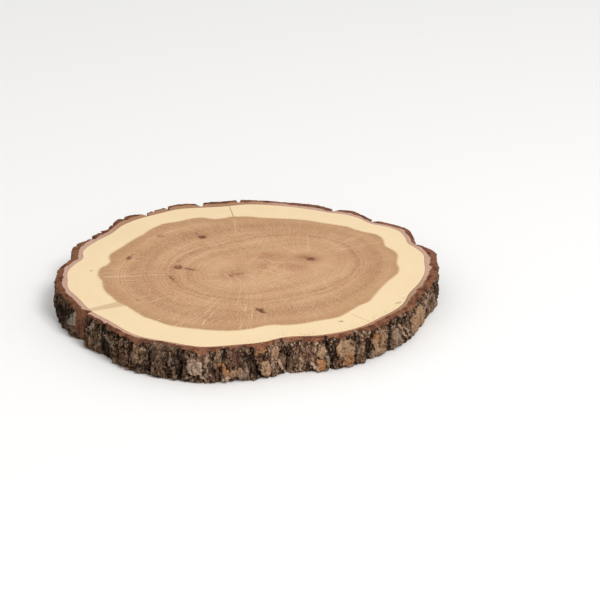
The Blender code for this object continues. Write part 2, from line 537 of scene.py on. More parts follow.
@dataclass(frozen=True)
class Trunk:
    """The outlines of the trunk where it was sawn."""

    centre: tuple[float, float] = (1.148, 0.507)  # middle of the slice's box
    thickness: float = 20.0
    piths: tuple[tuple[float, float], ...] = ((-7.5, -5.0), (36.0, 16.0))
    wood: Knots = (
        (0, 101.5), (6, 102.5), (12, 104.3), (17, 102.5), (21, 100.9), (25, 102.8), (30, 104.2),
        (35, 101.6), (40, 97.2), (47, 97.2), (52, 96.0), (57, 93.0), (65, 91.3), (77, 90.2), (90, 89.8),
        (100, 87.9), (107, 89.2), (117, 92.6), (124, 92.8), (135, 94.7), (141, 94.8), (148, 93.2),
        (157, 95.8), (165, 97.6), (171, 95.2), (175, 98.0), (181, 101.3), (186, 101.2), (192, 101.8),
        (200, 98.9), (210, 98.0), (219, 96.0), (233, 97.0), (245, 94.0), (254, 93.5), (266, 88.2),
        (276, 85.3), (284, 82.0), (297, 86.6), (310, 91.0), (322, 92.6), (334, 95.4), (343, 94.9),
        (352, 98.6),
    )
    heart_points: Knots = (
        (86.5, -2), (87, 3), (86, 9), (86.5, 14), (87.5, 20), (86, 25), (83, 29.5), (80, 32), (80.5, 36),
        (80, 42), (78, 46), (75, 49), (70, 50.5), (63, 55), (60, 58.5), (55, 60), (45, 63.5), (35, 67.5),
        (30, 68.5), (20, 69.5), (10, 70.5), (0, 72.5), (-10, 72), (-13, 70), (-20, 68.5), (-25, 71),
        (-30, 70.5), (-35, 68.5), (-40, 65.5), (-50, 62), (-53, 58.5), (-57, 54), (-60, 48), (-67, 39),
        (-70, 34), (-73, 29), (-76, 25), (-78.5, 21), (-79, 17), (-77.5, 11), (-78, 9), (-80, 6.5),
        (-83, 3.5), (-84, -3), (-83.5, -8), (-81, -12), (-80.5, -17), (-79.5, -23), (-77.5, -28),
        (-74, -33), (-71.5, -38), (-66, -43), (-63, -47), (-60, -51), (-55, -57), (-50, -60), (-45, -64),
        (-40, -67), (-30, -69.5), (-20, -71.5), (-10, -72.5), (0, -71), (5, -69), (10, -66.5),
        (15, -65.5), (20, -66), (28, -65), (35, -62.5), (40, -60.5), (50, -57), (57, -49), (62, -43),
        (68, -38), (70, -33), (73, -26), (76, -20), (79, -14), (83, -8),
    )
    bark: Knots = (
        (2, 8.2), (12, 7.4), (20, 5.6), (28, 6.6), (36, 6.0), (44, 6.2), (52, 6.9), (60, 5.8), (72, 5.9),
        (84, 7.0), (97, 8.4), (106, 7.8), (118, 8.2), (126, 6.3), (137, 7.9), (146, 6.1), (156, 7.7),
        (166, 7.6), (175, 6.7), (186, 6.9), (198, 7.8), (212, 7.2), (228, 6.7), (245, 7.0), (262, 6.7),
        (280, 6.9), (297, 6.6), (315, 7.0), (330, 7.2), (345, 8.0),
    )
    upper_edge: Knots = (
        (5, 1.2), (25, 0.6), (90, 0.4), (150, 0.5), (180, 0.9), (205, 2.2), (235, 2.6), (275, 2.9),
        (320, 2.6), (345, 1.8),
    )
    notch_bearing: float = 210.0
    notch_half_width: float = 1.1
    notch_slant: float = 4.5  # degrees over which its left wall slants out

    def plan(self, bearing: Array, radius: Array, height: Array) -> Array:
        """Points from bearing, radius and height: (r cos b, r sin b, z)."""
        angle = np.radians(bearing)
        return np.stack([radius * np.cos(angle), radius * np.sin(angle), height + 0 * radius], axis=-1)

    def placed(self, points: Array) -> Array:
        """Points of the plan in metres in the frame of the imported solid."""
        return (points - np.array([*self.centre, 0.0])) * MM

    def wood_radius(self, bearing: Array) -> Array:
        """Radius of the wood under the bark."""
        return around(self.wood, bearing)

    def heart_radius(self, bearing: Array) -> Array:
        """Radius of the dark heartwood: straight between its outline's points, then rounded.

        Args:
            bearing: Bearings in degrees.

        Returns:
            The mean radius over 3 degrees round each bearing.
        """
        x, y = np.array(self.heart_points).T
        at = np.degrees(np.arctan2(y, x)) % 360
        order = np.argsort(at)
        near = [
            np.interp((bearing + shift) % 360, at[order], np.hypot(x, y)[order], period=360)
            for shift in np.linspace(-1.5, 1.5, 7)
        ]
        return np.mean(near, axis=0)

    def ring_scale(self, bearing: Array, share: Array) -> Array:
        """What turns the distance product of the two piths into a ring coordinate of 1 at the bark.

        The root of the product of the distances from the two piths has closed curves round
        both, like real rings. It is divided by its value under the bark at that bearing,
        smoothed over 50 degrees further in, and by one middle value near the centre.

        Args:
            bearing: Bearings in degrees.
            share: Share of the way from the centre to the bark.

        Returns:
            One over the divisor, in 1 / mm.
        """
        every = np.arange(360.0)
        rim = self.plan(every, self.wood_radius(every), np.zeros(360))[:, :2]
        gaps = [np.hypot(*(rim - np.array(pith)).T) for pith in self.piths]
        edge = np.sqrt(gaps[0] * gaps[1])
        window = np.exp(-((np.arange(-60, 61) / 25.0) ** 2))
        long = np.convolve(np.tile(edge, 3), window / window.sum(), mode="same")[360:720]
        outer, smooth = (np.interp(bearing % 360, every, line, period=360) for line in (edge, long))
        divisor = smooth + (outer - smooth) * ease(share, 0.5, 1.0)
        return 1.0 / (edge.mean() + (divisor - edge.mean()) * ease(share, 0.0, 0.5))


# The wood


@dataclass(frozen=True)
class EndGrain:
    """Finish of the sawn wood: cream sapwood round a tan heart, with rings and rays."""

    sapwood: Colour = paint(238, 213, 173)
    sapwood_line: Colour = paint(226, 195, 148)
    heart: Colour = paint(193, 148, 107)
    heart_light: Colour = paint(212, 170, 129)
    heart_dark: Colour = paint(150, 104, 68)
    heart_edge: Colour = paint(180, 138, 97)
    ray: Colour = paint(226, 194, 160)
    blush: Colour = paint(160, 102, 72)
    mark: Colour = paint(98, 56, 34)
    mark_halo: Colour = paint(150, 104, 74)
    stain: Colour = paint(206, 176, 140)
    rings: float = 46.0
    ring_growth: float = 1.6
    rays: float = 150.0
    rim_width: float = 16.0  # how far the darker rim of the heart reaches in
    line_half_width: float = 0.75
    gloss: float = 0.25
    relief: float = 0.06
    dark_years: tuple[tuple[float, float, float, float], ...] = (  # start, middle, end, strength
        (49.5, 54.0, 55.5, 0.8), (55.5, 57.0, 58.5, 0.55), (43.0, 45.5, 48.0, 0.3),
        (63.5, 67.5, 70.5, 0.4),
    )
    pale_lines: tuple[Line, ...] = (
        (44, 27, 58, 29), (58, 29, 86, 41), (-7.5, 70, -6.2, 50), (-26, -13, -15, -12),
        (-58, 41, -40, 55), (-62, -6, -46, -5), (-80, -8, -60, -7), (-40, 28, -28, 40),
        (-13, -3, -10, -9), (-9.5, -8, -8.5, -15), (-6, -8, -3.5, -14), (0, -6, 6, -10),
        (-12, 0, -6, 3),
    )
    pith_rays: tuple[tuple[int, float, float, float], ...] = (  # which pith, bearing, start, end
        (0, 0, 6, 10), (0, 60, 18, 26), (0, 110, 38, 44), (0, 70, 42, 50),
        (0, 180, 8, 14), (0, 345, 25, 30), (0, 20, 22, 28),
        (1, 90, 10, 30), (1, 135, 10, 20), (1, 30, 18, 24), (1, 215, 20, 28), (1, 285, 28, 38),
    )

    def pith_lines(self, trunk: Trunk) -> list[Line]:
        """The short pale rays that run straight out from the piths.

        Args:
            trunk: Where the piths are.

        Returns:
            The two ends of each.
        """
        lines = []
        for number, bearing, start, end in self.pith_rays:
            x, y = trunk.piths[number]
            turn = math.radians(bearing)
            spots = [(x + r * math.cos(turn), y + r * math.sin(turn)) for r in (start, end)]
            lines.append((*spots[0], *spots[1]))
        return lines

    def material(self, trunk: Trunk) -> bpy.types.Material:
        """Write the material.

        The ring coordinate u is the root of the product of the distances from the two piths,
        times the scale that the mesh carries. Rings are whole steps of rings * u^ring_growth,
        and rays are whole steps of the sum of the bearings from the two piths.

        Args:
            trunk: Where the piths are.

        Returns:
            The material.
        """
        r = Recipe("end_grain", self.gloss)
        flat = r.spot().vector("ADD", (*trunk.centre, 0.0)).vector("MULTIPLY", (1.0, 1.0, 0.0))
        wobble = flat.grain(0.09, 3.0) - 0.5
        tremble = flat.grain(0.9, 2.0) - 0.5
        offs = [flat.vector("SUBTRACT", (*pith, 0.0)) for pith in trunk.piths]
        gaps = [off.vector("LENGTH", output="Value") for off in offs]
        turns = [off.along("Y").math("ARCTAN2", off.along("X")) for off in offs]

        reach = (gaps[0] * gaps[1]).math("SQRT")
        u = reach * r.attribute("ring_scale")
        phase = u**self.ring_growth * self.rings + wobble * 1.5 + tremble * 0.35
        within = phase.math("FRACT")
        late = within.step(0.45, 0.85) * within.step(1.0, 0.88)
        year_share = r.joined(phase.math("FLOOR"), 3.0).dice()
        line = late * year_share * (reach.step(24.0, 50.0) * 0.75 + 0.25)
        third = (phase * 3.0).math("FRACT")
        fine = third.step(0.3, 0.6) * third.step(0.95, 0.7)
        band = r.joined(phase * 0.11, 7.0).grain(1.0, 2.0)
        cloud = flat.grain(0.035, 3.0, 0.55)

        sway = (flat.grain(0.12, 1.0) - 0.5) * 2.2
        ray_phase = (turns[0] + turns[1]) * (self.rays / (2.0 * math.pi)) + sway
        ray_number = ray_phase.math("FLOOR")
        ray_line = (ray_phase.math("FRACT") - 0.5).math("ABSOLUTE").step(0.30, 0.05)
        dashes = r.joined(u * 9.0, ray_number * 5.3).grain(1.0, 1.0)
        lucky = r.joined(ray_number, 11.0).dice().step(0.55, 0.95)
        bold = ray_line * lucky * dashes.step(0.40, 0.60) * r.attribute("ray_show")
        faint = ray_line * dashes.step(0.35, 0.7)
        pores = flat.grain(2.2, 3.0, 0.7)
        weave = r.joined(ray_phase * 0.8, phase * 0.9).grain(1.6, 2.0, 0.7)

        tone = r.colours(self.heart, self.heart_light, cloud.step(0.3, 0.7))
        blotch = (flat.grain(0.14, 3.0, 0.6) - 0.5) * 1.4 + 0.5
        wavy = reach + wobble * 6.0 + offs[0].along("X").step(-42.0, -4.0) * 8.0
        for start, middle, end, strength in self.dark_years:
            year = wavy.step(start, middle) * wavy.step(end, middle) * blotch.step(-0.1, 0.75)
            tone = tone.to(self.heart_dark, year * strength)
        edge = r.attribute("heart") + tremble * 1.6 + (weave - 0.5) * 1.6
        tone = (
            tone.to(self.heart_dark, band.step(0.42, 0.68) * 0.62)
            .to(self.heart_dark, line)
            .to(self.heart_dark, fine * 0.3)
            .to(self.heart_light, weave.step(0.40, 0.70) * 0.7)
            .to(self.heart_dark, weave.step(0.45, 0.28) * 0.35)
            .to(self.ray, faint * 0.34)
            .to(self.blush, r.attribute("blush") * blotch.step(-0.1, 0.9))
            .to(self.heart_edge, edge.step(self.rim_width, 1.0) * 0.55)
            .to(self.ray, bold * 0.85)
        )
        bent = flat.vector("ADD", r.joined(wobble * 3.0, tremble * 2.5))
        for ends in (*self.pale_lines, *self.pith_lines(trunk)):
            tone = tone.to(self.ray, bent.line(ends, self.line_half_width) * 0.28)

        stained = r.attribute("stain").math("MULTIPLY", weave * 0.5 + 0.6, clamp=True)
        frayed = flat.grain(0.5, 4.0, 0.75).step(0.55, 0.63) * r.attribute("fray")
        pale = (
            r.colours(self.sapwood, self.sapwood_line, cloud.step(0.3, 0.75) * 0.18)
            .to(self.sapwood_line, line * 0.24)
            .to(self.sapwood_line, weave.step(0.5, 0.75) * 0.22)
            .to(self.stain, stained)
            .to(self.mark_halo, frayed * 0.55)
        )
        torn = (flat.grain(0.55, 3.0, 0.7) - 0.5) * 2.6 + 1.0
        mark = r.attribute("mark") * torn + (pores - 0.5) * 0.3
        colour = (
            pale.to(tone, edge.step(-1.2, 1.0))
            .to(self.mark_halo, mark.step(0.14, 0.5) * 0.55)
            .to(self.mark, mark.step(0.40, 0.66) * 0.8)
            .to(self.mark_halo, r.attribute("crack") * 0.45)
            .shade(pores * 0.30 + 0.85)
        )
        return r.finish(colour, pores * 0.12 + 0.60, pores + line * -0.5 + faint * 0.25, self.relief)


@dataclass
class WoodDisc:
    """The wood of the slice: two sawn faces, with the rim that the bark grows on."""

    trunk: Trunk
    finish: EndGrain = field(default_factory=EndGrain)
    columns: int = 560
    top_rows: int = 108
    low_rows: int = 44
    rim_round: float = 0.25
    crack_half_width: float = 0.32
    crack_depth: float = 0.7
    pit_depth: float = 0.45
    ripple: float = 0.05
    marks: tuple[Oval, ...] = tuple(
        Oval(*row)
        for row in (
            (-8.6, -6.0, 4.2, 1.9, 85, 0.5), (-3.6, -4.0, 5.0, 1.7, 0, 0.5),
            (36.8, 15.2, 3.4, 2.6, -20, 0.9), (33.5, 16.8, 7.0, 3.4, -14, 0.46),
            (-26, 44, 2.7, 2.6, 0, 1.0), (-29.5, 49.0, 5.4, 1.3, 122, 0.52),
            (-50.5, 45.5, 3.8, 3.2, 15, 0.5), (-67.5, 16.2, 3.6, 1.9, 70, 0.82),
            (-65.6, 19.5, 4.0, 1.0, 60, 0.5), (-38.8, 4.2, 3.0, 2.8, 0, 0.85),
            (-32.0, 1.8, 6.0, 1.6, -24, 0.62), (-42.6, -9.4, 7.5, 1.4, -64, 0.6),
            (-88, 0, 1.1, 0.7, 0, 0.8), (-60, -36.5, 2.2, 0.8, -25, 0.6), (-42, -30, 2.2, 0.7, -30, 0.55),
            (-37, -36, 2.6, 0.7, -30, 0.55), (-18, -30, 1.2, 0.7, 0, 0.5), (-10, -48, 1.1, 0.7, 0, 0.6),
            (-20, -60, 1.2, 0.9, 0, 0.6), (7.6, -49.0, 4.6, 1.7, -50, 1.0),
            (7.0, -47.6, 3.4, 1.4, 22, 0.75), (51, -61.5, 1.8, 0.8, 0, 0.75), (31, -77, 1.2, 0.5, 0, 0.6),
            (84, -40, 2.4, 1.0, 25, 0.6),
        )
    )
    cracks: tuple[Line, ...] = ((-10.5, 88.0, -7.5, 71.0), (57.0, -53.0, 68.0, -63.0))
    streak: Line = (-66.0, -39.5, -88.0, -49.7)
    streak_half_widths: tuple[float, float] = (3.4, 1.3)
    blushes: tuple[Oval, ...] = tuple(
        Oval(*row)
        for row in (
            (-7, -5, 6.0, 6.0, 10, 0.8), (14, 18.5, 12.0, 6.0, 5, 0.8), (9, 9, 5.0, 6.0, 0, 0.62),
            (34, 16.5, 11.0, 5.0, -14, 0.8), (28, 4, 8.0, 5.0, -10, 0.7), (60, 20, 7.0, 9.0, 0, 0.4),
            (-38, 2, 10.0, 5.0, -10, 0.45), (-28, 46, 9.0, 5.0, 0, 0.4), (70, 0, 9.0, 4.0, 60, 0.5),
            (-55, -4, 16.0, 26.0, 0, 0.22), (72, 22, 6.0, 12.0, 0, 0.3),
        )
    )
    ray_places: tuple[Oval, ...] = tuple(
        Oval(*row)
        for row in (
            (-16, -52, 34, 22, 6, 1.0), (-46, -36, 20, 14, -40, 0.7), (-68, -6, 16, 20, 0, 0.7),
            (48, 36, 22, 12, 35, 0.5), (-4, -18, 14, 12, 0, 0.7), (-30, 62, 18, 10, 0, 0.25),
        )
    )

    def ovals(self, points: Array, ovals: tuple[Oval, ...]) -> Array:
        """Bell-shaped ovals, the strongest winning: strength * exp(-((x / a)^2 + (y / b)^2)).

        Args:
            points: Points of the plan.
            ovals: The ovals.

        Returns:
            The field, from 0 to 1.
        """
        total = np.zeros(points.shape[:-1])
        for oval in ovals:
            turn = math.radians(oval.turn)
            dx, dy = points[..., 0] - oval.x, points[..., 1] - oval.y
            along = (dx * math.cos(turn) + dy * math.sin(turn)) / oval.half_length
            across = (dy * math.cos(turn) - dx * math.sin(turn)) / oval.half_width
            total = np.maximum(total, oval.strength * np.exp(-(along**2 + across**2)))
        return total

    def beside(self, points: Array, line: Line) -> tuple[Array, Array]:
        """How far along a straight line points lie, and how far off it.

        Args:
            points: Points of the plan.
            line: The line.

        Returns:
            The share of the way from its first end to its second, and the distance from the
            endless line.
        """
        start, run = np.array(line[:2]), np.array(line[2:]) - np.array(line[:2])
        off = points[..., :2] - start
        gap = np.abs(off[..., 0] * run[1] - off[..., 1] * run[0]) / np.hypot(*run)
        return off @ run / (run @ run), gap

    def crack_field(self, points: Array) -> Array:
        """Hairline cracks: 1 on a crack's line, falling to 0 at its half width.

        Args:
            points: Points of the plan.

        Returns:
            The field, from 0 to 1.
        """
        total = np.zeros(points.shape[:-1])
        for line in self.cracks:
            share, gap = self.beside(points, line)
            past = (share - np.clip(share, 0.0, 1.0)) * math.dist(line[:2], line[2:])
            total = np.maximum(total, ease(np.hypot(gap, past), self.crack_half_width, 0.0))
        return total

    def stain_field(self, points: Array) -> Array:
        """The grey streak that narrows on its way through the sapwood to the notch.

        Args:
            points: Points of the plan.

        Returns:
            The field, from 0 to 1.
        """
        share, gap = self.beside(points, self.streak)
        wide, narrow = self.streak_half_widths
        half = wide + (narrow - wide) * np.clip(share, 0.0, 1.0)
        return ease(gap, half + 0.7, half - 0.5) * ease(share, -0.25, 0.0)

    def face(self, bearing: Array, share: Array, upper: bool) -> tuple[Array, dict[str, Array]]:
        """One sawn face and the values that its finish reads.

        The height is that of the cut, less shallow ripples left by the saw, the pits of the
        marks and the cracks.

        Args:
            bearing: Bearings, one for each column.
            share: Share of the way to the rim, one for each row.
            upper: Whether it is the upper face.

        Returns:
            Points of the plan (rows, columns, 3), and the values.
        """
        b, s = np.meshgrid(bearing, share)
        radius = self.trunk.wood_radius(b) * s - self.rim_round * ease(s, 0.9, 1.0)
        points = self.trunk.plan(b, radius, np.zeros_like(b))
        mark = self.ovals(points, self.marks)
        crack = self.crack_field(points)
        ripple = self.ripple * (1.0 + noise(points * 0.06, 5) * 0.5 + noise(points * 0.35, 9) * 0.5)
        sink = ripple + self.pit_depth * ease(mark, 0.5, 0.95) + self.crack_depth * crack
        sink *= 1.0 - ease(s, 0.985, 1.0)
        points[..., 2] = self.trunk.thickness - sink if upper else sink
        values = {
            "ring_scale": self.trunk.ring_scale(b, s),
            "heart": self.trunk.heart_radius(b) - radius,
            "mark": mark,
            "crack": crack,
            "stain": self.stain_field(points),
            "ray_show": np.clip(0.2 + self.ovals(points, self.ray_places), 0.0, 1.0),
            "blush": self.ovals(points, self.blushes),
            "fray": ease(s, 0.94, 0.985) * ease(np.abs(off_bearing(b, 307)), 46.0, 30.0),
        }
        return points, values

    def bake_map(self, points: Array, groups: tuple[int, int]) -> Array:
        """Places on the bake map: each sawn face as its own plan, and the rim in strips.

        Args:
            points: Every row of the disc, in the plan.
            groups: How many rows of faces the upper face and the rim have.

        Returns:
            The places, (rows of faces, columns, 4, 2).
        """
        ahead = np.roll(points, -1, axis=1)
        corner = np.stack([points[:-1], points[1:], ahead[1:], ahead[:-1]], axis=2)[..., :2]
        upper = self.upper_place(corner[: groups[0]])
        lower = self.lower_place(corner[groups[0] + groups[1] :])
        rim = strips(points.shape[1], groups[1], 5, (0.01, 0.01, 0.52, 0.25))
        return np.concatenate([upper, rim, lower])

    def upper_place(self, spot: Array) -> Array:
        """Place on the bake map of a spot of the upper face."""
        return spot / 106.0 * 0.36 + np.array([0.37, 0.63])

    def lower_place(self, spot: Array) -> Array:
        """Place on the bake map of a spot of the lower face, turned over."""
        return spot / 106.0 * np.array([-0.20, 0.20]) + np.array([0.785, 0.21])

    def build(self) -> bpy.types.Object:
        """Join the upper face, the rounded rim and the lower face into one closed surface.

        The columns are crowded where the two cracks run out to the bark.

        Returns:
            The finished piece.
        """
        bearing = crowded_bearings(self.columns, ((96.6, 0.7, 9.0), (317.2, 0.7, 9.0)))
        thickness, bend = self.trunk.thickness, self.rim_round
        upper, upper_values = self.face(bearing, np.linspace(0, 1, self.top_rows + 1)[1:], True)
        lower, lower_values = self.face(bearing, np.linspace(1, 0, self.low_rows + 1)[:-1], False)
        turn = np.radians([30.0, 60.0, 90.0])
        straight = np.linspace(thickness, 0.0, 6)[1:-1]
        height = np.concatenate(
            [thickness - bend * (1 - np.cos(turn)), straight, bend * (1 - np.cos(turn[::-1]))]
        )
        swell = np.concatenate([np.sin(turn), np.ones(len(straight)), np.sin(turn[::-1])]) * bend
        b, z = np.meshgrid(bearing, height)
        radius = self.trunk.wood_radius(bearing)[None, :] - bend + swell[:, None]
        points = np.concatenate([upper, self.trunk.plan(b, radius, z), lower])
        values = {
            name: np.concatenate([value, np.repeat(value[-1:], len(height), axis=0), lower_values[name]])
            for name, value in upper_values.items()
        }
        middle = np.array([[0.0, 0.0, upper[0, :, 2].mean()], [0.0, 0.0, lower[-1, :, 2].mean()]])
        made = Surface(
            "wood",
            self.trunk.placed(points),
            self.bake_map(points, (self.top_rows - 1, len(height) + 1)),
            values,
            poles=self.trunk.placed(middle),
            pole_places=np.array([self.upper_place(np.zeros(2)), self.lower_place(np.zeros(2))]),
        ).build()
        made.data.materials.append(self.finish.material(self.trunk))
        return made


# The bark


class Kind(Enum):
    """What a patch of bark is made of or grown over with, or, for DARK, a hollow painted with shade."""

    PALE = "pale"  # grey-lilac dead flakes
    TAN = "tan"  # beige plates
    OCHRE = "ochre"  # orange-brown inner cork
    MAROON = "maroon"  # dark red of a fresh break
    LICHEN = "lichen"  # whitish green growth
    CORK = "cork"  # smooth red-brown cork, as on the lip
    DARK = "dark"  # shaded hollow


@dataclass(frozen=True)
class Patch:
    """A patch of the bark's side with its own colour, or with painted shade where it is a dark hollow,
    standing proud of it or sunk in it.
    """

    kind: Kind
    bearing: float
    height: float
    half_width: float  # degrees
    half_height: float
    strength: float = 1.0
    lift: float = 0.0
    lean: float = 0.0  # how far its bearing grows over the thickness of the slice


FURROWS = tuple(
    Furrow(*row)
    for row in (
        (3, 1.1, 2.6, 1.0), (9, 1.2, 2.2, -0.8), (15, 1.2, 2.4, 0.6), (20, 2.2, 3.0, 0.0),
        (27, 1.2, 2.2, 1.2), (33, 1.3, 2.4, -0.8), (41, 1.6, 3.8, 0.4), (48, 1.2, 2.2, 0.8),
        (57, 1.7, 3.2, -0.4), (63, 1.2, 2.4, 1.0), (70, 1.3, 2.6, -1.0), (77, 1.0, 2.0, 0.4),
        (85, 1.4, 2.8, 0.8), (93, 1.5, 4.6, 0.0), (100, 1.2, 2.6, -0.8), (107, 2.2, 5.4, 0.4),
        (113, 1.2, 2.4, 0.8), (119, 1.3, 6.2, 0.0), (124, 1.2, 2.4, 1.2), (129, 1.7, 5.4, -0.4),
        (136, 1.2, 2.6, 0.8), (142, 1.3, 2.6, -0.6), (149, 1.2, 2.4, 1.0), (155, 1.4, 4.4, 0.0),
        (162, 1.3, 2.6, -1.0), (168, 1.2, 2.4, 0.8), (174, 1.3, 2.8, 0.0), (181, 1.3, 3.0, 1.0),
        (187, 1.4, 3.2, -0.8), (193, 1.3, 3.4, 0.6), (201, 1.5, 3.6, -0.6), (219, 1.9, 3.8, 1.0),
        (227, 1.2, 3.0, 0.0), (233, 1.5, 3.2, -1.4), (239, 1.4, 3.4, 0.4), (244, 1.2, 2.8, 0.6),
        (249, 1.5, 3.8, -0.4), (257, 1.2, 2.8, 0.2), (262, 1.3, 3.4, 0.4), (267, 1.2, 2.4, -0.6),
        (273, 1.6, 3.6, -3.0), (280, 1.3, 2.8, -0.6), (285, 1.5, 3.2, 0.8), (291, 1.2, 2.6, 0.6),
        (299, 1.4, 3.6, -0.8), (308, 1.4, 3.4, 0.4), (314, 1.5, 3.8, 0.2), (323, 1.6, 3.8, 0.4),
        (329, 1.2, 2.6, -0.8), (335, 1.4, 3.0, 0.6), (341, 1.3, 3.0, -0.4), (347, 1.6, 3.8, 0.4),
        (355, 1.3, 3.0, -0.6),
    )
)

PATCHES = tuple(
    Patch(Kind(kind), *sizes)
    for kind, *sizes in (
        ("dark", 196, 8, 4.5, 7, 0.7), ("tan", 197, 16.5, 2.5, 1.8, 0.35),
        ("lichen", 205, 12.5, 1.5, 5, 1, 0.4, 5), ("maroon", 207.5, 7.5, 1.8, 3, 0.9, 0, 4),
        ("cork", 209.0, 11, 3.2, 10.5, 1), ("dark", 213.3, 10, 0.5, 10, 1, -0.5),
        ("pale", 215, 16.2, 1.3, 2.3, 0.8, 0.2), ("tan", 216, 8, 2, 7, 0.4, 0.3),
        ("pale", 218.7, 12, 0.6, 4.5, 0.9, 0.4), ("dark", 221, 6, 2.4, 6.5, 1, -0.8),
        ("pale", 223.5, 14, 1.8, 1.6, 0.6, 0.3, -10), ("dark", 227.6, 16, 0.5, 4, 1, -0.5),
        ("maroon", 229, 6, 2.5, 4, 0.5), ("tan", 235.5, 13, 2.4, 5, 0.4, 0.5),
        ("dark", 235.5, 3.5, 2, 4, 0.7, -0.4), ("dark", 240.5, 14.5, 1, 4.5, 0.8, -0.5),
        ("pale", 243.5, 14, 1.2, 3, 0.35), ("pale", 246, 12, 1, 4, 0.4, 0.2),
        ("dark", 249, 11, 1.2, 9, 0.9, -0.4), ("maroon", 254.5, 16.8, 1.8, 1.6, 0.4),
        ("pale", 253.8, 10.5, 2.3, 5.5, 1, 0.9), ("pale", 257.2, 9, 0.5, 8, 0.7, 0.2),
        ("pale", 255.5, 6, 0.4, 4, 0.6, 0.2, -4), ("dark", 259.5, 11, 0.6, 9, 0.6, -0.3),
        ("dark", 263, 16.5, 0.7, 3, 0.9, -0.5), ("ochre", 262.8, 8.8, 1, 4, 1, 0.9, -5),
        ("pale", 263.2, 2.6, 1.2, 2.6, 1, 0.8), ("maroon", 265.6, 14, 2.2, 4.8, 1, -1),
        ("tan", 266, 5.5, 1.6, 2.6, 0.6, 0.5), ("pale", 267.8, 4.5, 1, 4, 0.6, 0.3),
        ("dark", 271.8, 9, 1.5, 8.5, 0.9, -0.8, -5), ("ochre", 274.8, 17.2, 2.4, 1.6, 0.6, 0.6, 12),
        ("maroon", 274.4, 13.6, 1.3, 2.4, 1, -1.1), ("tan", 276.6, 6.5, 1.8, 5.5, 0.9, 0.6),
        ("tan", 279.5, 13.5, 1.4, 5, 0.6, 0.2), ("pale", 281.5, 8, 0.6, 5, 0.7, 0.3, -6),
        ("pale", 279.8, 5, 0.5, 3.5, 0.6, 0.2, -6), ("dark", 284.5, 14, 2, 4, 0.5, -0.3),
        ("dark", 286.5, 7, 1.6, 6, 0.4), ("maroon", 291.3, 11.5, 2, 4.5, 0.7, -0.2),
        ("pale", 293.3, 5.5, 0.5, 5, 0.9, 0.4, -8), ("pale", 292.2, 12, 0.4, 4, 0.8, 0.3, -5),
        ("pale", 290, 14, 0.4, 2.5, 0.7, 0.3, -5), ("ochre", 296, 4.2, 1.3, 3.8, 0.9, 0.4),
        ("tan", 295.8, 12.6, 1.3, 3.6, 0.6, 0.4), ("lichen", 297.6, 10, 0.5, 8, 0.35, 0.4, -3),
        ("dark", 297.8, 16.2, 1.2, 2.8, 0.9, -0.6), ("dark", 299.8, 7.5, 0.9, 9, 0.95, -0.8, 1),
        ("tan", 304, 13, 2.8, 4.8, 1, 0.9), ("ochre", 305.6, 6, 1.9, 4, 0.85, 0.5),
        ("maroon", 302, 4.8, 0.8, 2.5, 0.7), ("dark", 308.3, 11, 0.8, 9, 0.6, -0.3),
        ("pale", 309, 12, 0.4, 6, 0.5, 0.2), ("dark", 312.3, 12, 1.2, 3.4, 0.7, -0.6),
        ("dark", 312, 4.5, 1.4, 3, 0.7, -0.5), ("pale", 310.6, 10, 0.9, 3, 0.3),
        ("tan", 318, 9.5, 3.1, 7.5, 0.8, 0.8), ("ochre", 315.9, 13.8, 1.1, 3, 0.6, 0.1),
        ("pale", 320, 12.5, 0.8, 3.2, 0.9, 0.2), ("maroon", 319.8, 7, 1.6, 3, 0.6),
        ("dark", 322.8, 9, 0.7, 9, 0.6, -0.4), ("pale", 325, 8, 1, 6.5, 0.5, 0.2),
        ("pale", 325.8, 10, 0.35, 6, 0.9, 0.4, -3), ("pale", 328.2, 10, 0.35, 6, 0.7, 0.3, -8),
        ("pale", 330.3, 8, 0.35, 5.5, 0.7, 0.3, -8), ("dark", 328.6, 16, 1.4, 3, 0.7, -0.4),
        ("tan", 335.5, 8.5, 2.4, 6, 0.8, 0.4, -4), ("tan", 341, 8, 3.6, 6.2, 0.9, 0.4, -3),
        ("ochre", 343, 3, 3.2, 2.6, 0.35, 0.2), ("pale", 339, 12, 2.4, 2.4, 0.5),
        ("pale", 346.5, 12, 1.6, 5.5, 0.45, 0.3), ("dark", 350.5, 11, 1.4, 6, 0.5, -0.4, -4),
        ("pale", 353.5, 7, 1.4, 6, 0.5, 0.4, -6), ("dark", 356.5, 12, 1.6, 6, 0.7, -0.5, -4),
    )
)


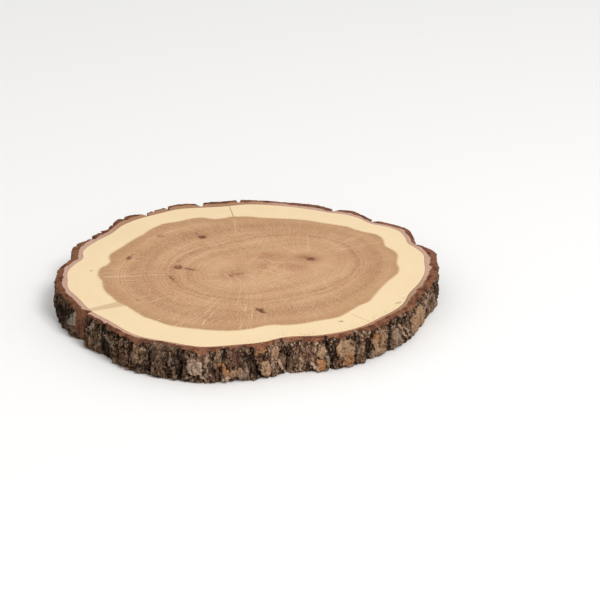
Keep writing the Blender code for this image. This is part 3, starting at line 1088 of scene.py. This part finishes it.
@dataclass(frozen=True)
class Rind:
    """Finish of the bark."""

    # Near black: painted shade in the furrows, cracks, the notch and the hollows; also dark specks, and the
    # outer edge of the sawn bark
    furrow: Colour = paint(24, 16, 12)
    dark: Colour = paint(46, 32, 24)
    middle: Colour = paint(102, 75, 56)
    warm: Colour = paint(118, 72, 47)
    fleck: Colour = paint(184, 158, 134)
    cork: Colour = paint(128, 82, 60)
    cork_dark: Colour = paint(96, 60, 44)
    cork_light: Colour = paint(152, 106, 80)
    inner_pink: Colour = paint(203, 166, 146)
    inner_tan: Colour = paint(176, 136, 106)
    inner_olive: Colour = paint(160, 132, 102)
    pale: Colour = paint(196, 168, 146)
    tan: Colour = paint(184, 145, 110)
    ochre: Colour = paint(176, 116, 66)
    maroon: Colour = paint(82, 36, 25)
    lichen: Colour = paint(206, 198, 180)
    roughness: float = 0.9
    gloss: float = 0.04
    relief: float = 0.3

    def material(self) -> bpy.types.Material:
        """Write the material: the mesh carries where each kind of patch lies.

        Returns:
            The material.
        """
        r = Recipe("bark", self.gloss)
        spot = r.spot()
        tall = spot.vector("MULTIPLY", (1.0, 1.0, 0.28))
        coarse = tall.grain(0.28, 3.0, 0.6)
        fine = tall.grain(1.1, 3.0, 0.65)
        speck = spot.grain(1.7, 2.0, 0.7)
        grit = spot.vector("MULTIPLY", (1.0, 1.0, 0.6)).grain(0.8, 3.0, 0.75)
        hair = spot.vector("MULTIPLY", (1.0, 1.0, 0.1)).grain(2.2, 2.0, 0.6)
        shade, tone = r.attribute("shade"), r.attribute("tone")
        # Painted light and shade by bearing, at half strength, for the cork lip and the sawn bark
        half_painted_light_and_shade = shade * 0.5 + 0.5

        def edge(name: str) -> Field:
            """A patch with its border broken up by noise."""
            own = r.attribute(name)
            return (own + (fine - 0.5) * 0.9).step(0.25, 0.6) * own.step(0.02, 0.2)

        age = tone + (coarse - 0.5) * 0.9
        side = (
            r.colours(self.dark, self.middle, age.step(0.15, 0.7))
            .to(self.fleck, age.step(0.6, 1.0) * 0.3)
            .to(self.warm, fine.step(0.50, 0.72) * 0.6)
            .to(self.fleck, grit.step(0.54, 0.63) * 0.8)
            .to(self.fleck, hair.step(0.60, 0.72) * 0.3)
            .to(self.furrow, grit.step(0.47, 0.34) * 0.85)
        )
        for kind in (Kind.PALE, Kind.TAN, Kind.OCHRE, Kind.MAROON, Kind.LICHEN):
            tint = (
                r.colours(getattr(self, kind.value), self.fleck, speck.step(0.46, 0.72))
                .to(self.middle, tone.step(0.3, 0.8) * 0.3)
                .to(self.dark, hair.step(0.54, 0.36) * 0.5)
                .to(self.dark, grit.step(0.42, 0.30) * 0.6)
            )
            side = side.to(tint, edge(kind.value) * 0.88)
        lump = (
            r.colours(self.cork, self.cork_light, fine.step(0.35, 0.7))
            .to(self.cork_dark, coarse.step(0.62, 0.38))
            .to(self.fleck, speck.step(0.62, 0.78) * 0.3)
            # painted light and shade by bearing, at half strength
            .shade(half_painted_light_and_shade)
        )
        # Painted shade: how deep in a furrow, a crack or the notch a point lies
        deep = r.attribute("deep") + (grit - 0.5) * -1.6
        side = (
            # painted light and shade by bearing
            side.shade(shade)
            .to(lump, edge("lip").math("MAXIMUM", edge("cork")))
            # painted shade in the furrows, cracks and the notch, and in the hollow patches
            .to(self.furrow, deep.step(0.35, 1.0) * 0.9)
            .to(self.furrow, r.attribute("dark") * 0.7)
        )

        inner = (
            r.colours(self.inner_tan, self.inner_pink, r.attribute("pink"))
            .to(self.inner_olive, r.attribute("olive"))
            .to(self.cork, fine.step(0.45, 0.7) * 0.45)
        )
        ring = r.attribute("phloem") + (fine - 0.5) * 0.9
        sawn = (
            r.colours(self.cork, self.cork_light, speck.step(0.38, 0.66))
            .to(self.cork_dark, coarse.step(0.58, 0.36))
            # painted light and shade by bearing, at half strength
            .shade(half_painted_light_and_shade)
            .to(inner, ring.step(0.3, 0.7))
            .to(self.cork_light, r.attribute("cambium") * 0.4)
            .to(self.furrow, deep.step(0.45, 0.95))
        )
        colour = side.to(sawn, r.attribute("sawn").step(0.3, 0.7)).shade(speck * 0.30 + 0.85)
        return r.finish(colour, self.roughness, speck + hair * 0.6 + grit * 1.2, self.relief)


@dataclass
class BarkRing:
    """The bark: a ring of plates and furrows round the wood, sawn off with it."""

    trunk: Trunk
    finish: Rind = field(default_factory=Rind)
    columns: int = 1240
    top_rows: int = 17
    side_rows: int = 46
    low_rows: int = 9
    lap: float = 0.4  # how far it reaches into the wood
    sink: float = 0.12  # how far its sawn faces lie below the wood's
    crumble: float = 1.7  # width of the broken outer strip of the sawn face where it has no lip
    furrow_flare: float = 1.45
    furrows: tuple[Furrow, ...] = FURROWS
    patches: tuple[Patch, ...] = PATCHES
    phloem: Knots = (
        (5, 3.2), (25, 3.0), (45, 2.6), (75, 3.4), (100, 4.2), (130, 4.0), (150, 3.4), (175, 3.0),
        (205, 2.6), (230, 2.0), (242, 1.2), (262, 1.0), (290, 1.0), (303, 1.4), (320, 1.8), (335, 2.4),
        (350, 3.0),
    )
    lip: Knots = (
        (10, 1.0), (60, 0.6), (120, 0.6), (170, 0.8), (190, 0.6), (199, 0.4), (206, 1.4), (212, 0.3),
        (217, -0.2), (224, -0.1), (230, 0.9), (235, 1.2), (239, -0.2), (247, -0.3), (252, 0.5),
        (255, 1.1), (259, 0.4), (263, -0.2), (267, 0.0), (271, -0.2), (274.5, 2.2), (277, 0.8),
        (280, -0.2), (287, -0.1), (291, 0.7), (296, 0.7), (298.5, -0.3), (302, 0.7), (306, 0.8),
        (308.5, -0.3), (312, 0.5), (317, 1.1), (320, 1.0), (324, 0.6), (328, 0.2), (332, 0.8), (336, 1.7),
        (341, 1.0), (346, 0.7), (352, 0.4), (357, 1.0),
    )
    # Painted light and shade: a factor on the bark's colour by bearing, darker on the left and lighter at the
    # front right, as if lit from the right
    painted_light_and_shade: Knots = (
        (5, 0.8), (60, 0.9), (120, 0.9), (180, 0.7), (192, 0.5), (200, 0.45), (207, 0.6), (213, 0.7),
        (222, 0.5), (230, 0.78), (236, 0.95), (242, 0.68), (249, 0.75), (254, 1.05), (262, 1.05),
        (267, 1.0), (272, 0.9), (277, 1.1), (283, 1.25), (291, 1.3), (300, 1.15), (308, 1.05),
        (316, 0.98), (325, 0.95), (335, 1.0), (345, 1.1), (352, 0.85), (358, 0.75),
    )
    heights: tuple[tuple[float, float, float], ...] = (
        (0.0, 1.0, 0.0), (0.07, 0.0, 0.0), (0.55, 0.0, 0.0), (0.78, 0.0, 0.1), (0.92, 0.0, 0.5),
        (1.0, 0.0, 1.0),
    )
    swells: tuple[tuple[float, float, float, float], ...] = (
        (11, 20, 140, 0.35), (23, 200, 20, 0.25), (37, 90, 300, 0.15),
    )
    lumps: Knots = (
        (0, 0.0), (8, 0.9), (15, 1.6), (19, 0.2), (30, 0.0), (36, 0.6), (40, 1.6), (44, -0.4), (52, 0.6),
        (57, 0.4), (64, 2.2), (72, 2.0), (80, 0.6), (90, 0.2), (98, -0.2), (104, 1.2), (108, 0.0),
        (114, 0.2), (120, -1.0), (125, -0.4), (129, -1.4), (133, 0.9), (138, 1.4), (141, 0.4), (144, 0.4),
        (146, 0.0), (148.5, 2.0), (151, 1.0), (153, 0.6), (156, -1.6), (160, -0.2), (166, 0.0),
        (175, 0.6), (185, 0.4), (210, 0.0), (240, 0.0), (270, 0.0), (300, 0.0), (330, 0.0), (345, 0.6),
    )

    def profile(self) -> tuple[Array, Array]:
        """Rows of the cross-section, from the inner wall over the top, down and back under.

        Returns:
            For each row the share of the way out, 0 at the inner wall and 1 at the face, and
            the share of the height, 1 at the top.
        """
        over = np.linspace(0.0, 1.0, self.top_rows)
        down = np.linspace(1.0, 0.0, self.side_rows + 1)[1:]
        under = np.linspace(1.0, 0.0, self.low_rows + 1)[1:]
        out = np.concatenate([over, np.ones(self.side_rows), under, np.zeros(3)])
        up = np.concatenate([np.ones(self.top_rows), down, np.zeros(self.low_rows), [0.15, 0.5, 0.85]])
        return out, up

    def furrow_depth(self, bearing: Array, radius: Array, share: Array) -> Array:
        """Depth of the furrows: cosine grooves that wander a little, the deepest one winning.

        Shallow furrows fade towards the top, except where the top edge shows them.

        Args:
            bearing: Bearings in degrees.
            radius: Radius of the wood there.
            share: Share of the height.

        Returns:
            The depth in mm.
        """
        angle = np.radians(bearing)
        spot = np.stack([np.cos(angle) * 11, np.sin(angle) * 11, share * 2.2], axis=-1)
        bearing = bearing + 0.9 * noise(spot, 31) + 0.3 * noise(spot * 3.0, 32)
        depth = np.zeros(bearing.shape)
        for furrow in self.furrows:
            off = off_bearing(bearing - furrow.lean * (share - 0.5), furrow.bearing)
            reach = self.furrow_flare * furrow.half_width
            across = np.clip(np.abs(np.radians(off) * radius) / reach, 0, 1)
            faded = 0.7 if furrow.depth < 3.0 and not 122 < furrow.bearing < 172 else 0.0
            kept = 1 - faded * share**2
            depth = np.maximum(depth, furrow.depth * kept * 0.5 * (1 + np.cos(math.pi * across)))
        return depth

    def patch_fields(self, bearing: Array, height: Array) -> dict[str, Array]:
        """Where each kind of patch lies, and how far the patches lift the bark.

        A patch is a rounded box whose distance from its border is warped by noise.

        Args:
            bearing: Bearings in degrees.
            height: Heights in mm.

        Returns:
            A field from 0 to 1 for each kind, and "lift" in mm.
        """
        angle = np.radians(bearing)
        spot = np.stack([np.cos(angle) * 97, np.sin(angle) * 97, height * 0.8], axis=-1)
        warp_across = fractal(spot * 0.45, 41, 3) * 0.9
        warp_up = fractal(spot * 0.35, 42, 3) * 2.2
        fields = {name: np.zeros(bearing.shape) for name in (*(kind.value for kind in Kind), "lift")}
        for patch in self.patches:
            lean = patch.lean * (height - patch.height) / self.trunk.thickness
            across = np.abs(off_bearing(bearing - lean, patch.bearing) + warp_across) / patch.half_width
            up = np.abs(height - patch.height + warp_up) / patch.half_height
            inside = ease(0.5 * np.maximum(across, up) + 0.5 * np.hypot(across, up), 1.15, 0.85)
            name = patch.kind.value
            fields[name] = np.maximum(fields[name], patch.strength * inside)
            fields["lift"] += patch.lift * inside * (1 - np.abs(fields["lift"]) / 2.5)
        return fields

    def plates(self, spot: Array) -> tuple[Array, Array, Array]:
        """Relief of the weathered side: plates, flakes and chips from ever smaller cells.

        Stepped noise lays them in terraces.

        Args:
            spot: Points of the plan on a smooth side.

        Returns:
            The relief in mm, how deep in a crack a point is, from 0 to 1, and a share that
            tells the plates apart.
        """
        bend = np.stack([noise(spot * 0.12, seed) for seed in (51, 52, 53)], axis=-1)
        tall = (spot + bend * 3.0) * np.array([1.0, 1.0, 0.42])
        plate_gap, plate = cells(tall / 5.6, 61)
        flake_gap, flake = cells((spot + bend * 2.0) * np.array([1.0, 1.0, 0.5]) / 2.5, 62)
        chip_gap, chip = cells((spot + bend) * np.array([1.0, 1.0, 0.55]) / 1.25, 60)
        layers = fractal(tall * 0.33, 63, 4, 0.55) * 4.0
        terraces = np.floor(layers) + ease(layers - np.floor(layers), 0.7, 1.0)
        plate_crack, flake_crack = ease(plate_gap, 0.14, 0.02), ease(flake_gap, 0.2, 0.04)
        relief = (plate - 0.5) * 1.3 - 0.7 * plate_crack + (flake - 0.5) * 1.0 - 0.45 * flake_crack
        relief += 0.28 * terraces + (chip - 0.5) * 0.6 - 0.2 * ease(chip_gap, 0.25, 0.05)
        relief += 0.5 * fractal(spot * 0.9, 64, 3, 0.6) + 0.25 * noise(spot * np.array([1.3, 1.3, 0.2]), 65)
        name = np.clip(0.35 * plate + 0.35 * flake + 0.3 * chip, 0, 1) * 2 - 0.5
        return relief, plate_crack * 0.5 + flake_crack * 0.25, name

    def opening(self, bearing: Array, spot: Array) -> tuple[Array, Array]:
        """The notch: 0 where it is cut in to the wood, rising to 1 at the crest of the bark.

        Its left wall slants out, and its right wall stands upright.

        Args:
            bearing: Bearings in degrees.
            spot: Points of the plan on a smooth side.

        Returns:
            Degrees from the middle of the notch, and the share of the bark that stands.
        """
        half = np.degrees(self.trunk.notch_half_width / 98.0)
        off = bearing - self.trunk.notch_bearing - 0.2 * noise(spot * 0.2, 68)
        slant = np.clip((-half - off) / self.trunk.notch_slant, 0, 1)
        opened = np.where(off < 0, slant, ease(off, half, half + 0.4))
        return off, np.where(np.abs(off_bearing(off, 0.0)) > 20, 1.0, opened)

    def shape(self) -> tuple[Array, dict[str, Array]]:
        """The points of the ring and what its finish reads.

        The face lies at the wood's radius plus the bark's thickness, less the furrows and the
        set-back of the edges, plus the relief of the plates.

        Returns:
            Points of the plan (rows, columns, 3), and the values.
        """
        trunk = self.trunk
        bearing = crowded_bearings(self.columns, ((trunk.notch_bearing, 1.3, 2.5), (275.0, 95.0, 0.35)))
        out, up = self.profile()
        b, a = np.meshgrid(bearing, out)
        share = np.broadcast_to(up[:, None], b.shape)
        wood = trunk.wood_radius(b)
        crest = wood + around(trunk.bark, b)
        for count, low, high, rise in self.swells:
            crest = crest + rise * np.sin(np.radians(count * b + low + (high - low) * share))
        crest = crest + around(self.lumps, b)
        level, lower, upper = np.array(self.heights).T
        broken = np.interp(share, level, lower) + np.interp(share, level, upper) * around(trunk.upper_edge, b)
        furrow = self.furrow_depth(b, wood, share)
        spot = trunk.plan(b, wood + 6.0, share * trunk.thickness)
        fields = self.patch_fields(b, spot[..., 2])
        own_lip = around(self.lip, b)
        lip_tall = own_lip + 0.5 * noise(spot * 0.25, 71) + 0.35 * noise(spot * 0.8, 70)
        lip = ease(trunk.thickness - spot[..., 2], lip_tall + 0.5, lip_tall - 0.4)

        relief, crack, tone = self.plates(spot)
        smooth = 0.35 * fractal(spot * 0.35, 66, 3) + 0.15 * noise(spot * 1.4, 67)
        off, opened = self.opening(b, spot)
        whole = ease(opened, 0.75, 1.0)
        relief = (relief + fields["lift"]) * (1 - lip) * whole + smooth * np.maximum(lip, 1 - whole)
        relief += 0.3 * lip * ease(spot[..., 2], 15.0, 18.5) - 0.2
        gully = 1.0 - 0.5 * ease(furrow, 0.6, 2.6) * ease(share, 1.0, 0.9)
        face = np.maximum(crest - np.maximum(furrow * gully, broken) + relief, wood + 0.5)
        face = wood + 0.3 + (face - wood - 0.3) * opened
        fields["cork"] *= ease(np.abs(off + 2.2), 3.6, 2.8)

        inner = wood - self.lap
        radius = inner + a * (face - inner)
        distance = radius - wood
        ragged = 0.12 * fractal(trunk.plan(b, radius, share * 9.0) * 0.9, 72, 3, 0.6)
        crumbled = self.crumble * ease(own_lip, 0.3, -0.4) * (up == 1.0)[:, None]
        cut = trunk.plan(b, radius, share)
        limit = face - wood - crumbled + 0.5 * noise(cut * 0.6, 73)
        crumbled = ease(distance, limit - 0.3, limit + 0.3) * ease(crumbled, 0.1, 0.8)
        drop = self.sink + np.abs(ragged) + 0.4 * ease(a, 0.8, 1.0)
        drop += crumbled * (0.7 + 0.5 * noise(cut * 0.9, 74))
        points = trunk.plan(b, radius, share * trunk.thickness - drop * (2 * share - 1))
        sawn = ((up == 1.0) | (up == 0.0)).astype(float)[:, None] * ease(a, 1.01, 0.97) * (1 - crumbled)
        phloem = around(self.phloem, b) + 0.8 * noise(spot * 0.25, 75) + 0.4 * noise(spot * 0.7, 76)
        half_notch = np.degrees(trunk.notch_half_width / 98.0)
        # Where the finish paints shade: deep in the furrows, in the cracks between plates and flakes, and in
        # the gap of the notch
        deep = np.maximum(ease(furrow, 0.8, 4.2), crack) * (1 - lip)
        deep = np.maximum(deep, ease(np.abs(off - half_notch), half_notch * 1.2, half_notch * 0.4) * 0.6)
        left, right = np.abs(off_bearing(b, 195)), np.abs(off_bearing(b, 30))
        values = {
            **{kind.value: fields[kind.value] for kind in Kind},
            "lip": lip,
            "deep": np.where(sawn > 0.5, ease(a, 0.84, 1.0) * 0.6, deep * (1 - 0.6 * crumbled)),
            # painted light and shade by bearing
            "shade": around(self.painted_light_and_shade, b),
            "tone": tone,
            "sawn": sawn,
            "phloem": ease(distance, phloem + 0.4, phloem - 0.4),
            "cambium": ease(np.abs(distance), 0.5, 0.1),
            "pink": ease(left, 62.0, 36.0) + ease(right, 60.0, 40.0),
            "olive": 0.6 * ease(np.abs(off_bearing(b, 338)), 22.0, 10.0),
        }
        return points, values

    def build(self) -> bpy.types.Object:
        """Build the ring.

        Returns:
            The finished piece.
        """
        points, values = self.shape()
        places = strips(points.shape[1], points.shape[0], 4, (0.005, 0.005, 0.995, 0.995))
        made = Surface("bark", self.trunk.placed(points), places, values).build()
        made.data.materials.append(self.finish.material())
        return made


# The studio


@dataclass(frozen=True)
class Lamp:
    """A square area lamp aimed at the slice."""

    name: str
    place: tuple[float, float, float]  # metres
    side: float  # metres
    power: float  # watts


@dataclass(frozen=True)
class Studio:
    """A pale table in soft light, and the camera."""

    distance: float = 1.2
    elevation: float = 26.5
    focal_length: float = 126.72
    aim: tuple[float, float] = (0.0304, -0.01676)  # metres right and up of the upper face's middle
    daylight: float = 0.66
    table_size: float = 8.0
    table: Colour = paint(244, 243, 241)
    lamps: tuple[Lamp, ...] = (
        Lamp("key", (0.75, -1.0, 1.5), 0.8, 22.0),
        Lamp("fill", (-1.3, -0.7, 1.1), 1.2, 1.5),
    )

    def light(self) -> None:
        """Set even daylight from all round, and the lamps."""
        scene = bpy.context.scene
        scene.view_settings.view_transform = "Standard"
        world = bpy.data.worlds.new("daylight")
        world.use_nodes = True
        sky = world.node_tree.nodes["Background"]
        sky.inputs["Color"].default_value = (1.0, 1.0, 1.0, 1.0)
        sky.inputs["Strength"].default_value = self.daylight
        scene.world = world
        for lamp in self.lamps:
            data = bpy.data.lights.new(lamp.name, "AREA")
            data.size = lamp.side
            data.energy = lamp.power
            made = bpy.data.objects.new(lamp.name, data)
            made.location = lamp.place
            made.rotation_euler = (-Vector(lamp.place)).to_track_quat("-Z", "Y").to_euler()
            scene.collection.objects.link(made)

    def lay_table(self) -> bpy.types.Object:
        """A wide flat square at height 0.

        Returns:
            The table.
        """
        half = self.table_size / 2
        corners = [(-half, -half, 0), (half, -half, 0), (half, half, 0), (-half, half, 0)]
        mesh = bpy.data.meshes.new("table")
        mesh.from_pydata(corners, [], [(0, 1, 2, 3)])
        recipe = Recipe("table", 0.1)
        recipe.shader.inputs["Base Color"].default_value = self.table
        recipe.shader.inputs["Roughness"].default_value = 0.8
        mesh.materials.append(recipe.material)
        made = bpy.data.objects.new("table", mesh)
        bpy.context.scene.collection.objects.link(made)
        return made

    def place_camera(self, trunk: Trunk) -> None:
        """Put the camera in front of the slice, looking down on it.

        Args:
            trunk: Where the middle of the outline is.
        """
        tilt = math.radians(self.elevation)
        middle = Vector(trunk.placed(np.array([0.0, 0.0, trunk.thickness])))
        upward = Vector((0.0, math.sin(tilt), math.cos(tilt)))
        stand = middle + self.distance * Vector((0.0, -math.cos(tilt), math.sin(tilt)))
        target = middle + Vector((self.aim[0], 0.0, 0.0)) + self.aim[1] * upward
        data = bpy.data.cameras.new("camera")
        data.lens = self.focal_length
        data.clip_start = 0.01
        made = bpy.data.objects.new("camera", data)
        back = (stand - target).normalized()
        right = upward.cross(back).normalized()
        turn = Matrix((right, back.cross(right), back)).transposed()
        made.matrix_world = Matrix.Translation(stand) @ turn.to_4x4()
        bpy.context.scene.collection.objects.link(made)
        bpy.context.scene.camera = made


# The whole


@dataclass(frozen=True)
class Slice:
    """The slice: its wood and its bark."""

    trunk: Trunk = field(default_factory=Trunk)

    def build(self) -> None:
        """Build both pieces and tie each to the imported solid."""
        pieces = {"wood": WoodDisc(self.trunk).build(), "bark": BarkRing(self.trunk).build()}
        for name, piece in pieces.items():
            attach(piece, "root")
            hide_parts("wood_slice")
            log.info("%s: %d faces", name, len(piece.data.polygons))


def main() -> None:
    """Build the slice and the studio."""
    logging.basicConfig(level=logging.INFO, format="%(name)s %(message)s", stream=sys.stdout)
    slice_of_wood = Slice()
    slice_of_wood.build()
    studio = Studio()
    studio.light()
    studio.lay_table()
    studio.place_camera(slice_of_wood.trunk)


if __name__ == "__main__":
    main()
